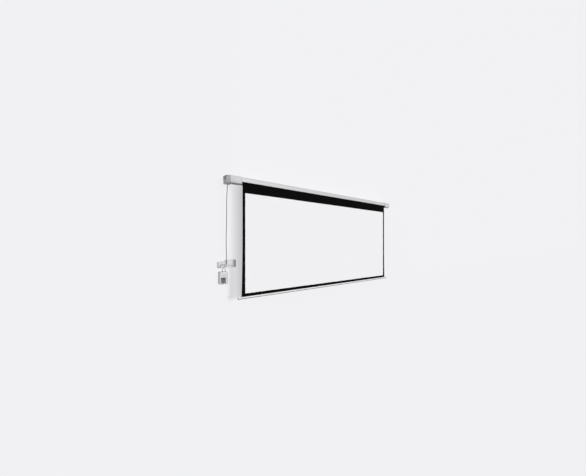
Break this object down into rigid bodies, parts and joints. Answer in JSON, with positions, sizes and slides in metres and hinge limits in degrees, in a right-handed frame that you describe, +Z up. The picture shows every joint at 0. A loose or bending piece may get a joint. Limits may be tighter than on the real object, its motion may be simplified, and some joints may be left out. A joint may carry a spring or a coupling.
{
  "type": "projector screen",
  "caption": "Motorised wall projector screen, lowered: case with end caps and brackets, black-bordered white fabric, weight bar, corded wall receiver and rocker switch",
  "frame": {"origin": "on the wall, between the left bracket's two bolts", "axes": "+X along the case to the viewer's right, -Y out of the wall towards the viewer, +Z up; the wall is the plane Y = 0"},
  "size_m": [2.7316, 0.1772, 1.226],
  "materials": {
    "case_shell": "satin white enamel on bent steel sheet",
    "end_cap_left": "fine-grained white moulding",
    "end_cap_right": "fine-grained white moulding",
    "cap_screw_left": "dark zinc-plated pan head",
    "cap_screw_right": "dark zinc-plated pan head",
    "motor_plate": "zinc-plated sheet",
    "idler_plate": "zinc-plated sheet",
    "motor_head": "dark die-cast head",
    "motor_body": "drawn steel tube",
    "motor_shaft": "turned steel",
    "motor_crown": "black nylon",
    "drive_wheel": "black nylon",
    "motor_clip": "spring steel",
    "motor_lead": "grey sheath",
    "roller_tube": "extruded tube",
    "fabric_wraps": "black-backed coated fabric",
    "idler_plug": "black nylon",
    "idler_bush": "acetal",
    "idler_pin": "turned steel",
    "idler_clip": "spring steel",
    "fabric_sheet": "matt white coating with black borders",
    "weight_bar": "satin white enamel on aluminium",
    "bar_bumper": "grey rubber strip",
    "bar_rod": "drawn steel rod",
    "bar_cap_left": "dark grey moulding",
    "bar_cap_right": "dark grey moulding",
    "wall_bracket_left": "satin enamel on bent steel",
    "wall_bracket_right": "satin enamel on bent steel",
    "wall_bolt_left_upper": "black zinc-plated hex head",
    "wall_bolt_left_lower": "black zinc-plated hex head",
    "wall_bolt_right_upper": "black zinc-plated hex head",
    "wall_bolt_right_lower": "black zinc-plated hex head",
    "bracket_screw_left": "zinc-plated pan head",
    "bracket_screw_right": "zinc-plated pan head",
    "cord_gland": "grey strain relief",
    "power_cord": "grey sheath",
    "receiver_base": "white moulding",
    "receiver_cover": "white moulding",
    "circuit_board": "green solder mask",
    "junction_box": "white moulding",
    "junction_hub": "grey moulding",
    "junction_cap": "white moulding",
    "lead_left": "grey sheath",
    "lead_right": "grey sheath",
    "switch_back_box": "grey-white moulding",
    "switch_plate": "satin white moulding",
    "switch_module": "dark moulding",
    "rocker_key_left": "dark satin moulding",
    "rocker_key_right": "dark satin moulding",
    "plate_screw_upper": "zinc-plated pan head",
    "plate_screw_lower": "zinc-plated pan head"
  },
  "bodies": {
    "screen": {"case_shell": "case_shell", "end_cap_left": "end_cap_left", "end_cap_right": "end_cap_right", "cap_screw_left": "cap_screw_left", "cap_screw_right": "cap_screw_right", "motor_plate": "motor_plate", "idler_plate": "idler_plate", "motor_head": "motor_head", "motor_body": "motor_body", "motor_clip": "motor_clip", "motor_lead": "motor_lead", "idler_pin": "idler_pin", "idler_clip": "idler_clip", "wall_bracket_left": "wall_bracket_left", "wall_bracket_right": "wall_bracket_right", "wall_bolt_left_upper": "wall_bolt_left_upper", "wall_bolt_left_lower": "wall_bolt_left_lower", "wall_bolt_right_upper": "wall_bolt_right_upper", "wall_bolt_right_lower": "wall_bolt_right_lower", "bracket_screw_left": "bracket_screw_left", "bracket_screw_right": "bracket_screw_right", "cord_gland": "cord_gland", "power_cord": "power_cord", "receiver_base": "receiver_base", "receiver_cover": "receiver_cover", "circuit_board": "circuit_board", "junction_box": "junction_box", "junction_hub": "junction_hub", "junction_cap": "junction_cap", "lead_left": "lead_left", "lead_right": "lead_right", "switch_back_box": "switch_back_box", "switch_plate": "switch_plate", "switch_module": "switch_module", "plate_screw_upper": "plate_screw_upper", "plate_screw_lower": "plate_screw_lower"},
    "drop": {"fabric_sheet": "fabric_sheet", "weight_bar": "weight_bar", "bar_bumper": "bar_bumper", "bar_rod": "bar_rod", "bar_cap_left": "bar_cap_left", "bar_cap_right": "bar_cap_right"},
    "roller": {"roller_tube": "roller_tube", "fabric_wraps": "fabric_wraps", "motor_crown": "motor_crown", "drive_wheel": "drive_wheel", "motor_shaft": "motor_shaft", "idler_plug": "idler_plug", "idler_bush": "idler_bush"},
    "key_left": {"rocker_key_left": "rocker_key_left"},
    "key_right": {"rocker_key_right": "rocker_key_right"}
  },
  "joints": [
    {"name": "screen_drop", "type": "slide", "parent": "screen", "child": "drop", "axis": [0, 0, 1], "range_m": [0, 1.1], "deforming": ["fabric_sheet"]},
    {"name": "roller_spin", "type": "hinge", "parent": "screen", "child": "roller", "pos_m": [1.3045, -0.13778, -0.0165], "axis": [1, 0, 0], "range_deg": [-2325, 5]},
    {"name": "key_left_rock", "type": "hinge", "parent": "screen", "child": "key_left", "pos_m": [-0.0605, -0.0515, -0.995], "axis": [1, 0, 0], "range_deg": [-5, 5], "stiffness_Nm_per_rad": 0.3},
    {"name": "key_right_rock", "type": "hinge", "parent": "screen", "child": "key_right", "pos_m": [-0.0395, -0.0515, -0.995], "axis": [1, 0, 0], "range_deg": [-5, 5], "stiffness_Nm_per_rad": 0.3}
  ],
  "couplings": [
    {"joint": "roller_spin", "follows": "screen_drop", "rad_per_m": -36.8}
  ]
}
